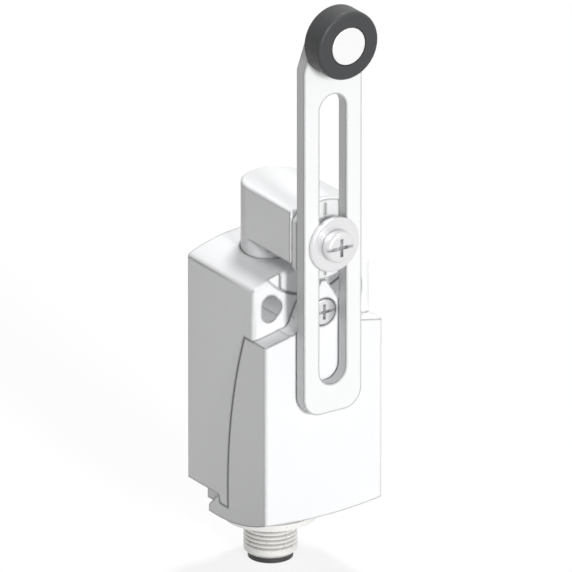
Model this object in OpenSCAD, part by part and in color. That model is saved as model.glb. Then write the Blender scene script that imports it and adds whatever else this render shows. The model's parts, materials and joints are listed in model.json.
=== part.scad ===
// Compact limit switch: die-cast housing, turret head, slotted roller lever, M12 plug outlet.
// Origin: midway between the two fixing slots, on the rear mounting face.
// +X to the right, +Y out of the mounting face, +Z up towards the lever's roller.

/* [Housing] */
// Width of the housing and the cover
body_w = 31; // [30.4:0.2:34]
// Depth of the housing, from the mounting face to the front of the ears
body_d = 25.8; // [24.8:0.2:29]
// Height of the rounded top above the fixing slots
crown_z = 8.5; // [8.3:0.1:10]
// Radius of the rounded top, seen from the front
crown_r = 38; // [30:1:48]
// Radius between the rounded top and the sides
crown_edge_r = 1.4; // [1:0.1:3]
// Radius of the front edge of the rounded top
crown_rim_r = 0.8; // [0.5:0.1:1.4]
// Distance from the fixing slots down to the housing's bottom edge
body_drop = 47.8; // [46.4:0.2:56]
// Thickness of the housing's walls
wall = 2; // [1.6:0.1:2.2]
// Radius of the housing's upright corners at the ears
corner_r = 0.9; // [0.5:0.1:1.4]
// Radius of the housing's upright corners at the mounting face
rear_corner_r = 0.3; // [0.2:0.1:1]

/* [Fixing slots] */
// Distance between the centres of the two fixing slots
fix_spacing = 21; // [20.6:0.1:22]
// Width of a fixing slot, for an M4 screw
fix_slot_w = 4.3; // [4.2:0.1:4.5]
// End-to-end length of a fixing slot
fix_slot_l = 5.3; // [4.9:0.1:5.7]
// Height of the upright slot in the front part of each hole
fix_slot_h = 6.3; // [5.5:0.1:6.6]
// Depth of that upright slot
fix_slot_d = 8; // [4:0.5:12]

/* [Cover] */
// How far the cover stands in front of the ears
cover_t = 4.8; // [4.4:0.1:5.6]
// Thickness of the cover's walls
cover_wall = 1.8; // [1.5:0.1:2.1]
// Radius of the cover's upright corners
cover_corner_r = 0.5; // [0.3:0.1:1]
// Distance from the fixing slots down to the cover's top shoulders
ledge_drop = 6.8; // [6.4:0.1:7.2]
// Rise of the shoulders from the sides to the tongue
ledge_rise = 1.7; // [1.2:0.1:2.2]
// How far the cover's lower corners hang below the housing
cover_lip = 1.5; // [1:0.1:2]
// How far the belly hangs below the lower corners, in the middle
belly_drop = 4.8; // [4.2:0.1:5.4]
// Radius of the belly, seen from the side
belly_r = 48; // [42:1:60]
// Distance of the side seam's lower end from the mounting face
seam_d = 15.8; // [15.2:0.1:16.6]
// Radius of the curved side seam
seam_r = 110; // [100:2:140]
// Width of the seam, filled by the gasket
seam_gap = 0.4; // [0.3:0.05:0.5]
// Height of the cover screw below the fixing slots
cover_screw_drop = 1.6; // [1:0.1:2]
// Head diameter of the cover screw
cover_screw_head = 6.2; // [5.4:0.1:6.4]

/* [Head] */
// Distance of the turret's axis from the mounting face
turret_d = 12.2; // [11.8:0.1:12.8]
// Half the width of the head, and the radius of its round back
head_r = 8; // [7.8:0.1:8.6]
// Height of the head's flat seat below the rounded top
seat_drop = 1; // [0.8:0.1:1.5]
// Height of the head's front overhang above its seat
overhang_z = 3.8; // [3.4:0.1:4.2]
// Height of the lever shaft above the head's seat
shaft_rise = 8.35; // [8.2:0.05:9]
// Height of the head above the shaft
head_cap = 7.75; // [7.5:0.05:8.5]
// Diameter of the lever shaft
shaft_dia = 6; // [5.6:0.1:6.4]
// Full diameter of the cam
cam_dia = 10.4; // [10:0.1:10.6]
// Width of the cam
cam_w = 6; // [5:0.2:7]

/* [Lever] */
// Width of the lever
lever_w = 15.2; // [14.4:0.2:17]
// Thickness of the lever
lever_t = 3; // [2:0.1:3.4]
// Gap between the cover's front and the lever
lever_gap = 0.5; // [0.4:0.05:1]
// Lever length from the shaft down to its lower end
lever_tail = 40; // [38:0.5:44]
// Lever length from the shaft up to the roller, as photographed
lever_reach = 48.45; // [46:0.05:54]
// Radius of the lever's lower corners
lever_corner_r = 4.5; // [3:0.5:6]
// Radius of the lever's upper end
lever_tip_r = 5; // [4.6:0.2:6]
// Distance from the roller's axis down to where the lever starts to taper
lever_taper = 6.7; // [6:0.1:9]
// Width of the slot in the lever
slot_w = 7; // [6.8:0.1:7.6]
// Material left below the slot
slot_foot = 6.7; // [5:0.1:8]
// Material left between the slot and the roller's axis
slot_head = 13.3; // [11:0.1:16]
// Radius of the hub behind the lever
hub_r = 9.35; // [8.8:0.05:9.4]
// Thickness of the hub
hub_t = 1.8; // [1.6:0.1:2.2]
// Diameter of the clamp washer
washer_dia = 12.6; // [11:0.2:13]
// Thickness of the clamp washer
washer_t = 1; // [0.8:0.1:1.4]
// Diameter of the clamp screw's head
clamp_head_dia = 7.1; // [6:0.1:8]
// Height of the clamp screw's head
clamp_head_h = 2.4; // [2:0.1:3]

/* [Roller] */
// Diameter of the roller
roller_dia = 15.8; // [14:0.1:18]
// Width of the roller
roller_w = 5.8; // [5:0.1:8]
// Radius of the roller's front edge
roller_edge_r = 0.8; // [0.4:0.1:1.2]
// Radius of the roller's rear edge
roller_rear_r = 0.3; // [0.2:0.1:0.8]
// Diameter of the roller's pin
pin_dia = 5; // [4:0.1:5.4]
// Diameter of the pin's front head
pin_head_dia = 8.6; // [7.4:0.1:9]

/* [Plug outlet] */
// Distance of the plug's axis from the mounting face
plug_d = 9.6; // [9.4:0.1:10.4]
// Outside diameter of the plug's thread
thread_dia = 12; // [11.8:0.1:12.2]
// Pitch of the thread
thread_pitch = 1; // [0.75:0.05:1.25]
// Length of the threaded tube
thread_l = 8.5; // [8:0.5:12]
// Diameter of the plug's flange
flange_dia = 20.9; // [20:0.1:21.4]
// Thickness of the plug's flange
flange_t = 1.4; // [1:0.1:2]
// Distance from the housing's bottom edge down to the plug's seal
neck_l = 7.2; // [7:0.1:9]
// Diameter of the circle that the plug's pins stand on
pin_circle = 7; // [6.8:0.1:7.2]

/* [Switch insert] */
// Travel of the plunger and the contact carriage
stroke = 2.2; // [1.8:0.1:2.4]
// Depth of the contact block in front of the turret's axis
block_front = 8; // [7.6:0.1:9]
// Height of the contact block
block_h = 28.5; // [27.5:0.5:30]
// Diameter of the insulated leads
lead_dia = 1.2; // [1:0.1:1.4]
// Diameter of the plunger's stem
plunger_dia = 4; // [3.6:0.1:4.2]

/* [Hidden] */
$fn = 72;

// Clearances
fit = 0.03;         // radial clearance of a shaft in its bush
slide_gap = 0.05;   // between flat faces that slide on each other
run_gap = 0.15;     // between the turning hub and the head
seat_gap = 0.05;    // between a piece and the pocket it sits in
joint_gap = 0.15;   // between the cover and the ears
eps = 0.01;         // overlap of a cut with the air in front of it

// Planes along Y
half_w = body_w / 2;
ear_y = -body_d;
front_y = ear_y - cover_t;
turret_y = -turret_d;
plug_y = -plug_d;
seam_y = -seam_d;
lever_back_y = front_y - lever_gap;
lever_front_y = lever_back_y - lever_t;
hub_front_y = lever_back_y + slide_gap;
hub_back_y = hub_front_y + hub_t;
head_front_y = hub_back_y + run_gap;
washer_back_y = lever_front_y - slide_gap;
washer_front_y = washer_back_y - washer_t;
clamp_front_y = washer_front_y - clamp_head_h;

// Heights
ledge_z = -ledge_drop;
ceiling_z = ledge_z - wall - 0.4;
bottom_z = -body_drop;
floor_z = bottom_z + wall + 0.2;
corner_z = bottom_z - cover_lip;
belly_z = corner_z - belly_drop;
seat_z = crown_z - seat_drop;
over_z = seat_z + overhang_z;
shaft_z = seat_z + shaft_rise;
head_top_z = shaft_z + head_cap;
roller_z = shaft_z + lever_reach;

// Shaft and cam
shaft_r = shaft_dia / 2;
journal_r = 1.95;                      // rear end of the shaft
journal_l = 1.4;
cam_r = cam_dia / 2;
cam_flat = cam_r - 1.6;                // distance from the shaft's axis to the cam's flat
cam_room = 0.7;                        // free space round the cam
cam_back_y = turret_y + cam_w / 2;
cavity_back_y = turret_y + 5.8;
cavity_front_y = turret_y - 6.4;
bush_r = shaft_r + 1.6;
bush_l = 8.5;
seal_t = 1.2;
stub_r = 2.4;                          // end of the shaft inside the hub
boss_r = slot_w / 2 - 0.1;             // part of the hub that guides the lever's slot
boss_front_y = lever_front_y + 0.2;
clamp_thread_r = 1.45;
clamp_thread_l = 8;

// Turret joint
spigot_r = 6.6;
spigot_l = 5.3;
spigot_z = seat_z - spigot_l;
ring_r = 0.7;                          // cord radius of the O-ring
ring_z = seat_z - 1.6;
base_r = head_r;
base_gap = 0.15;                       // between the turret's base and the rounded top
guide_r = 5;
lock_r = 1.1;
lock_z = spigot_z + 1.7;
recess_r = 14.6;                       // round relief in the ears, about the shaft
recess_d = 0.6;
recess_line = 0.3;                     // width of the relief below its raised middle
recess_mid_x = 8.2;                    // half the width of that raised middle

// Plunger
plunger_r = plunger_dia / 2;
plunger_top_z = shaft_z - cam_r - run_gap;
plunger_disc_t = 1.6;
plunger_disc_r = 4.2;
plunger_disc_z = plunger_top_z - plunger_disc_t;
guide_top_z = plunger_disc_z - stroke - 0.2;
guide_floor_z = spigot_z + 0.8;
guide_sleeve_r = plunger_r + 0.7;
guide_rim = 0.5;
push_z = ceiling_z - 1.2;              // where the plunger meets the carriage

// Contact block
block_half_w = half_w - wall - 1;
block_back_y = -wall - 0.2;
block_front_y = turret_y - block_front;
block_top_z = ceiling_z - 0.8;
block_bottom_z = block_top_z - block_h;
block_wall = 1.6;
chamber_x = block_half_w - block_wall;
chamber_back_y = block_back_y - block_wall - 0.6;
chamber_front_y = turret_y - 3;
chamber_top_z = block_top_z - 2;
chamber_bottom_z = block_bottom_z + block_wall;
lid_t = 1.6;
block_screw_r = 1.2;
block_screw_head_r = block_screw_r + 0.9;
block_screw_inset = 3.6;               // of the block screws from the block's sides
block_screw_floor = 0.9;               // metal left behind a block screw
screw_well_r = block_screw_head_r + 0.2;
screw_seat = 2;                        // material under a block screw's head
screw_head_h = 1.2;
window_x = block_half_w - block_screw_inset - screw_well_r - 0.5;

// Contacts
strip_t = 0.8;
strip_w = 4.4;
contact_r = 1.3;
rivet_h = 0.6;
bridge_t = 0.6;
bridge_w = 4;
bridge_rivet_h = 0.5;
contact_rim = 0.3;                     // strip left round a contact rivet
contact_x = chamber_x - 3.2;
terminal_x = chamber_x - strip_w / 2 + 0.4;
nc_strip_z = chamber_top_z - 1.6;      // underside plane of the upper strips is one strip_t lower
nc_bridge_z = nc_strip_z - strip_t - rivet_h - slide_gap - bridge_rivet_h - bridge_t;
no_bridge_z = chamber_bottom_z + 7.9;
no_strip_z = no_bridge_z - bridge_rivet_h - stroke - slide_gap - rivet_h;
terminal_h = 7.9;
terminal_screw_r = 1.45;
terminal_head_r = 2.7;
terminal_head_h = 1.8;
terminal_screw_l = 4;

// Carriage
carriage_x = 3.2;
carriage_y = 3.2;
carriage_top_z = chamber_top_z - 0.6;
carriage_bottom_z = chamber_bottom_z + stroke + 0.5;
window_y = bridge_w / 2 + 0.15;
bridge_spring_l = 4.3;
return_pocket = 2.6;
return_pocket_r = 2.4;

// Plug
thread_r = thread_dia / 2;
thread_depth = 0.55;
flange_r = flange_dia / 2;
seal_z = bottom_z - neck_l;
plug_seal_t = 0.6;
flange_top_z = seal_z - plug_seal_t;
flange_bottom_z = flange_top_z - flange_t;
thread_end_z = flange_bottom_z - thread_l;
neck_r = plug_d - 1.6;
shank_r = 5.2;
shank_wall = 0.85;
shank_top_z = floor_z - 0.4;
insert_r = thread_r - 0.95;            // lower part, inside the thread
insert_neck_r = shank_r - shank_wall;  // upper part, inside the shank
insert_wall = 0.75;
insert_proud = 1.3;                    // of the insert below the thread
insert_web_z = flange_bottom_z + 0.5;
insert_top_z = floor_z + 0.6;
plug_pin_r = 0.5;
plug_cup_r = 1;
plug_cup_z = insert_top_z + 1.4;
pin_tip_z = thread_end_z + 1.2;

// Leads
lead_r = lead_dia / 2;
lead_bend = 1.6;
lead_y = block_front_y - 1.4;
lead_low_z = plug_cup_z + 2.4;
lead_high_z = lead_low_z + lead_dia + 0.5;

// ---------- Helpers ----------

// Extrudes an (x, z) outline along Y, from y0 back to y1
module along_y(y0, y1) {
    translate([0, y1, 0]) rotate([90, 0, 0]) linear_extrude(y1 - y0) children();
}

// Extrudes a (y, z) outline along X, from x0 to x1
module along_x(x0, x1) {
    translate([x0, 0, 0]) rotate([90, 0, 90]) linear_extrude(x1 - x0) children();
}

// Round bar along Y, from y0 back to y1, at (x, z)
module bar_y(r, y0, y1, x = 0, z = 0) {
    translate([x, y1, z]) rotate([90, 0, 0]) cylinder(r = r, h = y1 - y0);
}

// Upright round bar from z0 up to z1, at (x, y)
module bar_z(r, z0, z1, x = 0, y = 0) {
    translate([x, y, z0]) cylinder(r = r, h = z1 - z0);
}

// Box between two corners
module block(low, high) {
    translate(low) cube(high - low);
}

// Both copies of a piece that stands on the left and on the right
module both_sides() {
    children();
    mirror([1, 0, 0]) children();
}

// Rectangle from (-x, z0) to (x, z1) with its two upper corners rounded
module round_top(x, z0, z1, r) {
    translate([-x, z0]) square([2 * x, z1 - z0 - r]);
    translate([-x + r, z0]) square([2 * x - 2 * r, z1 - z0]);
    for (side = [-1, 1]) translate([side * (x - r), z1 - r]) circle(r);
}

// Turned disc along -Y with its rim rounded at the front: radius r, thickness t, rim radius e
module turned_disc(r, t, e) {
    rotate([90, 0, 0]) rotate_extrude() {
        square([r, t - e]);
        square([r - e, t]);
        translate([r - e, t - e]) circle(e, $fn = 48);
    }
}

// Straight slot outline of width w between two centres on the z axis
module slot_outline(w, z0, z1) {
    translate([-w / 2, z0]) square([w, z1 - z0]);
    for (z = [z0, z1]) translate([0, z]) circle(w / 2);
}

// Cross recess with a slot in a screw's face; the face is at y = 0 and the screw runs to +Y
module drive_recess(size, depth) {
    for (turn = [0, 90])
        rotate([0, turn, 0])
            block([-size / 2, -eps, -0.09 * size], [size / 2, depth, 0.09 * size]);
}

// Plain helical spring along Z: coil radius, wire radius, end heights and number of turns
module helix(coil, wire, z0, z1, turns, steps = 14, sides = 6) {
    count = turns * steps;
    rise = z1 - z0 - 2 * wire;
    function ring(i) = let (a = 360 * i / steps)
        [for (k = [0 : sides - 1]) let (b = 360 * k / sides, r = coil + wire * cos(b))
            [r * cos(a), r * sin(a), z0 + wire + rise * i / count + wire * sin(b)]];
    points = [for (i = [0 : count]) each ring(i)];
    skin = [for (i = [0 : count - 1], k = [0 : sides - 1])
        let (n = (k + 1) % sides, a = i * sides, b = a + sides)
        each [[a + k, b + k, b + n], [a + k, b + n, a + n]]];
    cap0 = [for (k = [1 : sides - 2]) [0, k, k + 1]];
    last = count * sides;
    cap1 = [for (k = [1 : sides - 2]) [last, last + k + 1, last + k]];
    polyhedron(points, concat(skin, cap0, cap1));
}

// Round lead through axis-aligned points, with a bend of radius lead_bend at each corner
module lead(path) {
    last = len(path) - 1;
    function dir(i) = (path[i + 1] - path[i]) / norm(path[i + 1] - path[i]);
    for (i = [0 : last - 1]) {
        d = dir(i);
        start = path[i] + (i > 0 ? d * lead_bend : [0, 0, 0]);
        end = path[i + 1] - (i < last - 1 ? d * lead_bend : [0, 0, 0]);
        side = abs(d[2]) > 0.5 ? [1, 0, 0] : [0, 0, 1];
        up = cross(d, side);
        multmatrix([[side[0], up[0], d[0], start[0]], [side[1], up[1], d[1], start[1]],
                    [side[2], up[2], d[2], start[2]], [0, 0, 0, 1]])
            cylinder(r = lead_r, h = norm(end - start), $fn = 24);
    }
    for (i = [1 : last - 1]) {
        d1 = dir(i - 1);
        d2 = dir(i);
        c = path[i] - d1 * lead_bend + d2 * lead_bend;
        n = cross(-d2, d1);
        multmatrix([[-d2[0], d1[0], n[0], c[0]], [-d2[1], d1[1], n[1], c[1]],
                    [-d2[2], d1[2], n[2], c[2]], [0, 0, 0, 1]])
            rotate_extrude(angle = 90, $fn = 48) translate([lead_bend, 0]) circle(lead_r, $fn = 24);
    }
}

// ---------- Housing and cover outlines ----------

seam_z = bottom_z + 3.5;               // above this height the side seam curves forward
tab_z = bottom_z - 1.8;                // bottom of the small tab at the seam's lower end
tab_y = seam_y + 3;
hook_y = tab_y + 0.5;                  // where the cover's hook meets the housing's bottom edge
wing_y = hook_y + 3.95;                // rear end of the cover's hook
tongue_foot_x = 6.9;
tongue_neck_x = 4.3;
tongue_tip_x = 0.7;
tongue_foot_z = ledge_z + ledge_rise + 0.5;
tongue_tip_z = shaft_z - hub_r - 0.6;
screw_z = -cover_screw_drop;

// Front view of the housing: straight sides and a rounded shoulder under the crown
module housing_front() {
    x = half_w - crown_edge_r;
    z = crown_z - crown_r + sqrt(pow(crown_r - crown_edge_r, 2) - x * x) + 0.03;
    top = x * crown_r / (crown_r - crown_edge_r);
    translate([-half_w, tab_z]) square([body_w, z - tab_z]);
    translate([-top, tab_z]) square([2 * top, crown_z + 2 - tab_z]);
    for (side = [-1, 1]) translate([side * x, z]) circle(crown_edge_r);
}

// Side view of the housing, as (y, z)
module housing_side() {
    g = seam_gap / 2;
    translate([ear_y, ledge_z]) square([body_d, crown_z + 3 - ledge_z]);
    difference() {
        translate([ear_y, seam_z]) square([body_d, ledge_z - seam_z + eps]);
        translate([seam_y - seam_r, seam_z]) circle(seam_r + g, $fn = 360);
    }
    polygon([[0, bottom_z], [0, seam_z + eps], [seam_y + g, seam_z + eps], [seam_y + g, tab_z],
             [tab_y, tab_z], [hook_y, bottom_z]]);
}

// Side view of the cover, as (y, z)
module cover_side() {
    g = seam_gap / 2;
    low = belly_z - 2;
    difference() {
        polygon([[front_y - 1, tongue_tip_z + 1], [ear_y - joint_gap, tongue_tip_z + 1],
                 [ear_y - joint_gap, ledge_z - joint_gap], [seam_y - g, ledge_z - joint_gap],
                 [seam_y - g, tab_z - joint_gap], [tab_y + joint_gap, tab_z - joint_gap],
                 [hook_y + joint_gap, bottom_z - joint_gap], [wing_y - 0.35, bottom_z - 3.2],
                 [wing_y, bottom_z - 3.8], [wing_y, low], [front_y - 1, low]]);
        difference() {
            translate([ear_y, seam_z]) square([body_d, ledge_z - seam_z]);
            translate([seam_y - seam_r, seam_z]) circle(seam_r - g, $fn = 360);
        }
    }
}

// Front view of the cover: shoulders, a tongue for the screw, and concave corners between them
module cover_front() {
    corner = 2.6;
    foot = [tongue_foot_x, tongue_foot_z - 0.5];
    difference() {
        polygon([[-half_w, belly_z - 2], [half_w, belly_z - 2], [half_w, ledge_z],
                 [foot[0] + corner, foot[1] - corner * ledge_rise / (half_w - foot[0])],
                 [foot[0] - corner * 0.45, foot[1] + corner * 0.9],
                 [tongue_neck_x, 0], [tongue_tip_x, tongue_tip_z],
                 [-tongue_tip_x, tongue_tip_z], [-tongue_neck_x, 0],
                 [-foot[0] + corner * 0.45, foot[1] + corner * 0.9],
                 [-foot[0] - corner, foot[1] - corner * ledge_rise / (half_w - foot[0])],
                 [-half_w, ledge_z]]);
        for (side = [-1, 1]) translate([side * (foot[0] + 1.63), foot[1] + 2.5]) circle(2.75);
    }
}

// The cover's curved bottom: a ring surface about a line along Y, high above
module belly() {
    across_r = 120;
    deep = 60;
    translate([0, 0, belly_z + across_r]) rotate([90, 0, 0]) rotate_extrude($fn = 180)
        intersection() {
            translate([across_r - belly_r, turret_d - 0.7]) circle(belly_r, $fn = 120);
            translate([across_r - deep, 0]) square([deep + 1, body_d + cover_t + 2]);
        }
}

// ---------- Housing ----------

module body_shell() color([0.86, 0.87, 0.88]) {
    difference() {
        union() {
            intersection() {
                along_y(ear_y - 1, 1) housing_front();
                along_x(-half_w, half_w) housing_side();
                translate([0, 0, crown_z - crown_r]) turned_disc(crown_r, body_d, crown_rim_r);
                translate([0, 0, tab_z - 1]) linear_extrude(crown_z - tab_z + 3) difference() {
                    translate([-half_w, ear_y]) square([body_w, body_d]);
                    for (side = [-1, 1]) {
                        corner_trim(side, 0, rear_corner_r);
                        corner_trim(side, ear_y, corner_r);
                    }
                }
            }
            // Inset foot behind the cover's hook
            along_x(-half_w + wall / 2, half_w - wall / 2)
                polygon([[-6.4, bottom_z + 1], [-6.4, bottom_z - 2.9], [wing_y - 0.2, bottom_z - 2.9],
                         [hook_y + 0.3, bottom_z], [hook_y + 0.3, bottom_z + 1]]);
            bar_z(neck_r, seal_z, bottom_z + 1, y = plug_y);
        }
        // Switch chamber
        block([-half_w + wall, ear_y - 1, floor_z], [half_w - wall, -wall - 0.2, ceiling_z]);
        // Turret seat, spigot bore and plunger bore
        bar_z(base_r + base_gap, seat_z, crown_z + 2, y = turret_y);
        bar_z(spigot_r + seat_gap, spigot_z - 0.2, seat_z + 1, y = turret_y);
        bar_z(plunger_r + 0.3, ceiling_z - 1, spigot_z, y = turret_y);
        bar_y(lock_r, ear_y, turret_y - spigot_r + 1, z = lock_z);
        // Round relief in the ears, round a raised middle
        difference() {
            bar_y(recess_r, ear_y - 1, ear_y + recess_d, z = shaft_z);
            intersection() {
                bar_y(recess_r - recess_line, ear_y - 2, ear_y + recess_d + 1, z = shaft_z);
                block([-recess_mid_x, ear_y - 2, screw_z], [recess_mid_x, 0, shaft_z]);
            }
        }
        // Fixing slots, and the upright slots in their front part
        both_sides() {
            translate([fix_spacing / 2, 0, 0]) {
                along_y(ear_y - 1, 1) rotate(90)
                    slot_outline(fix_slot_w, -(fix_slot_l - fix_slot_w) / 2, (fix_slot_l - fix_slot_w) / 2);
                along_y(ear_y - 1, ear_y + fix_slot_d)
                    translate([(fix_slot_l - fix_slot_w) / 2, 0])
                        slot_outline(fix_slot_w, -(fix_slot_h - fix_slot_w) / 2, (fix_slot_h - fix_slot_w) / 2);
            }
        }
        // Tapped hole of the cover screw
        bar_y(1.5, ear_y - 1, turret_y - 5.4, z = screw_z);
        // Bore of the plug's shank, and tapped holes of the block screws
        bar_z(shank_r + seat_gap, seal_z - 1, floor_z + 1, y = plug_y);
        for (p = block_screw_places())
            bar_y(block_screw_r + seat_gap, -wall - 1, -block_screw_floor + seat_gap, p[0], p[1]);
    }
}

// Plan of what a rounded corner leaves of a square one, to cut away at (side * half_w, y)
module corner_trim(side, y, r) {
    inward = y < -1 ? 1 : -1;
    translate([side * half_w, y]) difference() {
        translate([-r, -r]) square(2 * r);
        translate([-side * r, inward * r]) circle(r, $fn = 32);
        translate([side > 0 ? -3 * r : r, -3 * r]) square([2 * r, 6 * r]);
        translate([-3 * r, inward > 0 ? r : -3 * r]) square([6 * r, 2 * r]);
    }
}

module front_cover() color([0.88, 0.89, 0.9]) {
    difference() {
        intersection() {
            along_y(front_y, 0) cover_front();
            along_x(-half_w, half_w) cover_side();
            belly();
            translate([0, 0, belly_z - 1]) linear_extrude(crown_z - belly_z + 2) difference() {
                translate([-half_w, front_y]) square([body_w, -front_y]);
                for (side = [-1, 1]) corner_trim(side, front_y, cover_corner_r);
            }
        }
        // Inside of the cover
        block([-half_w + cover_wall, front_y + cover_wall, floor_z],
              [half_w - cover_wall, 0, ceiling_z]);
        block([-half_w + cover_wall, front_y + cover_wall, bottom_z - 0.7],
              [half_w - cover_wall, seam_y - cover_wall, floor_z + 1]);
        // Room for the plug's neck
        bar_z(neck_r + 0.3, belly_z - 2, floor_z + 1, y = plug_y);
        block([-neck_r - 0.3, plug_y, belly_z - 2], [neck_r + 0.3, 1, floor_z + 1]);
        // Groove for the gasket
        gasket_ring(seat_gap);
        // Seat and hole of the cover screw
        bar_y(cover_screw_head / 2 + 0.15, front_y - 1, front_y + 2.3, z = screw_z);
        bar_y(1.7, front_y, ear_y + 1, z = screw_z);
    }
}

// Ring that follows the seam: grown by g for the groove
module gasket_ring(g) {
    outer_x = half_w - 0.7;
    inner_x = half_w - cover_wall + 0.2;
    thick = seam_gap / 2;
    low = floor_z - 1.2;
    high = ceiling_z + 1.2;
    module strip(grow) {
        intersection() {
            difference() {
                union() {
                    translate([seam_y - seam_r, seam_z]) circle(seam_r + thick, $fn = 360);
                    translate([seam_y - 30, low - 2]) square([30 + thick, seam_z - low + 2]);
                }
                difference() {
                    translate([seam_y - seam_r, seam_z]) circle(seam_r - thick - 0.8 - grow, $fn = 360);
                    translate([seam_y - 60, low - 40]) square([80, seam_z - low + 40]);
                }
                translate([seam_y - 60, low - 40]) square([60 - thick - 0.8 - grow, seam_z - low + 40]);
            }
            translate([ear_y - 5, low - grow]) square([body_d, high - low + 2 * grow]);
        }
    }
    difference() {
        along_x(-outer_x - g, outer_x + g) strip(g);
        block([-inner_x + g, ear_y - 8, low + 1 + g], [inner_x - g, 0, high - 1 - g]);
    }
}

module cover_gasket() color([0.12, 0.12, 0.13]) gasket_ring(0);

module cover_screw() color([0.75, 0.76, 0.78]) {
    face = front_y - 0.15;
    difference() {
        union() {
            translate([0, front_y + 2.3, screw_z])
                turned_disc(cover_screw_head / 2, front_y + 2.3 - face, 0.5);
            bar_y(1.45, front_y + 2.2, turret_y - 6, z = screw_z);
        }
        translate([0, face, screw_z]) {
            drive_recess(3.6, 1.2);
            block([-cover_screw_head, -eps, -0.3], [cover_screw_head, 0.6, 0.3]);
        }
    }
}

// ---------- Head ----------

module head_housing() color([0.86, 0.87, 0.88]) {
    edge = 0.6;
    difference() {
        union() {
            // Round back and straight sides share one section
            translate([0, turret_y, 0]) rotate_extrude() intersection() {
                round_top(head_r, over_z, head_top_z, edge);
                translate([0, over_z]) square([head_r, head_top_z]);
            }
            intersection() {
                along_y(head_front_y, turret_y) round_top(head_r, over_z, head_top_z, edge);
                along_x(-head_r, head_r) translate([head_front_y, over_z])
                    front_rounded(turret_y - head_front_y, head_top_z - over_z, edge);
            }
            bar_z(base_r, seat_z, over_z, y = turret_y);
            bar_z(spigot_r, spigot_z, seat_z, y = turret_y);
        }
        // Cam chamber, kept inside the head's round back
        intersection() {
            union() {
                block([-cam_r - cam_room, cavity_front_y, over_z - 1.6],
                      [cam_r + cam_room, cavity_back_y, shaft_z]);
                bar_y(cam_r + cam_room, cavity_front_y, cavity_back_y, z = shaft_z);
            }
            union() {
                bar_z(head_r - 1.5, seat_z, head_top_z, y = turret_y);
                block([-head_r, cavity_front_y - 1, seat_z], [head_r, turret_y, head_top_z]);
            }
        }
        bar_z(guide_r + seat_gap, spigot_z - 1, over_z - 1, y = turret_y);
        // Shaft bores: rear journal, bush and seal
        bar_y(journal_r + fit, cavity_back_y - 1, cavity_back_y + journal_l + 0.1, z = shaft_z);
        bar_y(bush_r, head_front_y - 1, cavity_front_y + 1, z = shaft_z);
        // Groove of the O-ring and the holes of the lock pin, one for each quarter turn
        translate([0, turret_y, ring_z - ring_r - 0.1]) difference() {
            cylinder(r = spigot_r + 1, h = 2 * ring_r + 0.2);
            translate([0, 0, -1]) cylinder(r = spigot_r - 2 * ring_r - seat_gap, h = 4 * ring_r);
        }
        for (turn = [0 : 90 : 270])
            translate([0, turret_y, 0]) rotate(turn) bar_y(lock_r, -spigot_r - 1, -spigot_r + 1, z = lock_z);
    }
}

// Rectangle in (y, z) from the origin with its upper front corner rounded
module front_rounded(w, h, r) {
    translate([r, 0]) square([w - r, h]);
    square([w, h - r]);
    translate([r, h - r]) circle(r);
}

module head_seal() color([0.1, 0.1, 0.1])
    translate([0, turret_y, ring_z]) rotate_extrude()
        translate([spigot_r - ring_r - eps, 0]) circle(ring_r, $fn = 32);

module head_lock_pin() color([0.7, 0.71, 0.73])
    bar_y(lock_r - seat_gap, ear_y + recess_d, turret_y - spigot_r + 0.9, z = lock_z);

module shaft_bush() color([0.72, 0.58, 0.32])
    difference() {
        bar_y(bush_r - seat_gap, cavity_front_y - bush_l, cavity_front_y, z = shaft_z);
        bar_y(shaft_r + fit, cavity_front_y - bush_l - 1, cavity_front_y + 1, z = shaft_z);
    }

module shaft_seal() color([0.1, 0.1, 0.1])
    difference() {
        bar_y(bush_r - seat_gap, head_front_y + 0.2, cavity_front_y - bush_l, z = shaft_z);
        bar_y(shaft_r + fit, head_front_y - 1, cavity_front_y, z = shaft_z);
    }

// ---------- Turning set: shaft, cam, hub and clamp ----------

clip_y = cavity_front_y + 0.1;
clip_t = 0.8;
clip_r = shaft_r + 1.3;
groove_r = shaft_r - 0.4;

module shaft() color([0.72, 0.73, 0.75]) {
    difference() {
        union() {
            bar_y(shaft_r, hub_back_y, cavity_back_y - 0.2, z = shaft_z);
            bar_y(journal_r, cavity_back_y - 0.3, cavity_back_y + journal_l, z = shaft_z);
            intersection() {
                bar_y(stub_r, boss_front_y + 0.1, hub_back_y + 0.5, z = shaft_z);
                block([-stub_r + 0.5, boss_front_y - 1, shaft_z - stub_r - 1],
                      [stub_r - 0.5, hub_back_y + 1, shaft_z + stub_r + 1]);
            }
        }
        bar_y(clamp_thread_r + seat_gap, boss_front_y - 1, boss_front_y + clamp_thread_l, z = shaft_z);
        difference() {
            bar_y(shaft_r + 1, clip_y, clip_y + clip_t, z = shaft_z);
            bar_y(groove_r, clip_y - 1, clip_y + clip_t + 1, z = shaft_z);
        }
        translate([0, turret_y, shaft_z]) rotate([0, 90, 0]) cylinder(r = 0.75, h = 20, center = true);
    }
}

module shaft_clip() color([0.55, 0.56, 0.58])
    difference() {
        bar_y(clip_r, clip_y + 0.02, clip_y + clip_t - 0.02, z = shaft_z);
        bar_y(groove_r + 0.02, clip_y - 1, clip_y + clip_t + 1, z = shaft_z);
        block([-1.2, clip_y - 1, shaft_z], [1.2, clip_y + clip_t + 1, shaft_z + clip_r + 1]);
    }

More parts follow.
